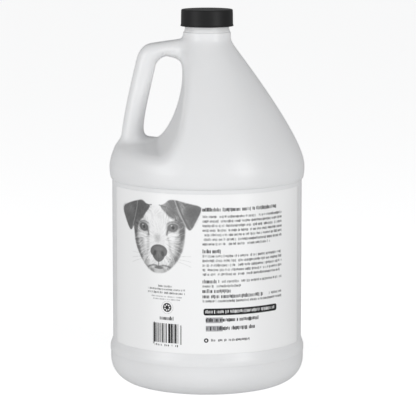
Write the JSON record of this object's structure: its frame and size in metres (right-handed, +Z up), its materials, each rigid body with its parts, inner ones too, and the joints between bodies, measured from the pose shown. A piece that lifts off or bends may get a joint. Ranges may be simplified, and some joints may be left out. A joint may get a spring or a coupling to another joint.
{
  "type": "shampoo bottle",
  "caption": "Large round blow-moulded bottle for pet shampoo, with a hollow through handle, a screw cap with its liner, and printed wrap labels on the back and the front.",
  "frame": {"origin": "centre of the base, on the surface that the bottle stands on", "axes": "+Z up along the neck, -X towards the handle, -Y towards the back label, +Y towards the front label"},
  "size_m": [0.1564, 0.1564, 0.2999],
  "materials": {
    "white_hdpe": "satin blow-moulded polyethylene, slightly translucent",
    "black_cap": "matte moulded polypropylene",
    "foam_liner": "fine closed-cell foam",
    "label_film": "satin white film with black and grey print"
  },
  "bodies": {
    "bottle": {"bottle": "white_hdpe", "back_label": "label_film", "front_label": "label_film"},
    "liner": {"cap_liner": "foam_liner"},
    "cap": {"screw_cap": "black_cap"}
  },
  "joints": [
    {"name": "cap_rise", "type": "slide", "parent": "bottle", "child": "liner", "axis": [0, 0, 1], "range_m": [0, 0.017]},
    {"name": "cap_turn", "type": "hinge", "parent": "liner", "child": "cap", "pos_m": [0, 0, 0.2866], "axis": [0, 0, 1], "range_deg": [0, 1440]}
  ],
  "couplings": [
    {"joint": "cap_rise", "follows": "cap_turn", "m_per_rad": 0.00067376}
  ]
}
